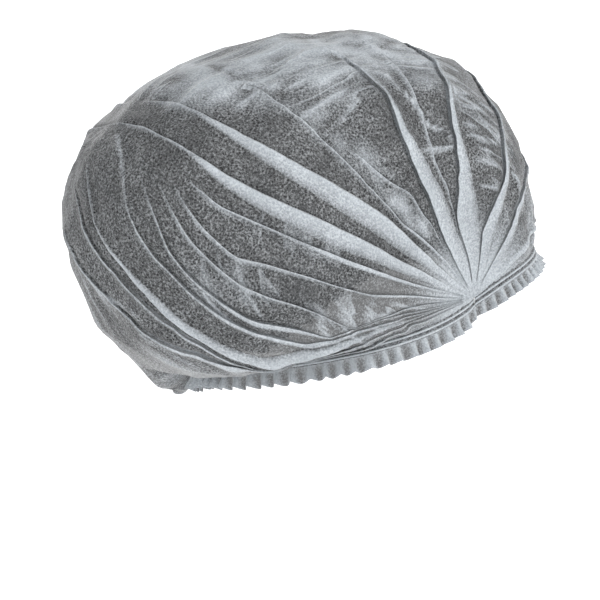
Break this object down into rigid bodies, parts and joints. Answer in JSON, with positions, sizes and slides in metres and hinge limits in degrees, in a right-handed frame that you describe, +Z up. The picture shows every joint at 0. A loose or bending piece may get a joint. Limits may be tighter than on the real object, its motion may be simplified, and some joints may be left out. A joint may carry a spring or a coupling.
{
  "type": "disposable hair cover cap",
  "caption": "Pleated nonwoven hair cover cap, opened out as worn, with two elastic hems, fluted frills and tacked temple ends.",
  "frame": {"origin": "centre of the head opening, level with the two temple tacks", "axes": "+X is the wearer's forward, +Y the wearer's left and +Z up"},
  "size_m": [0.2676, 0.169, 0.198],
  "materials": {
    "nonwoven": "thin spunbond web, matte, see-through where it lies in one layer",
    "elastic_hem": "folded web over white elastic, matte",
    "weld": "pressed and welded web, slightly glossy"
  },
  "bodies": {
    "root": {"crown": "nonwoven", "front_elastic": "elastic_hem", "rear_elastic": "elastic_hem", "front_frill": "nonwoven", "rear_frill": "nonwoven", "right_temple_tack": "weld", "left_temple_tack": "weld"}
  },
  "joints": []
}
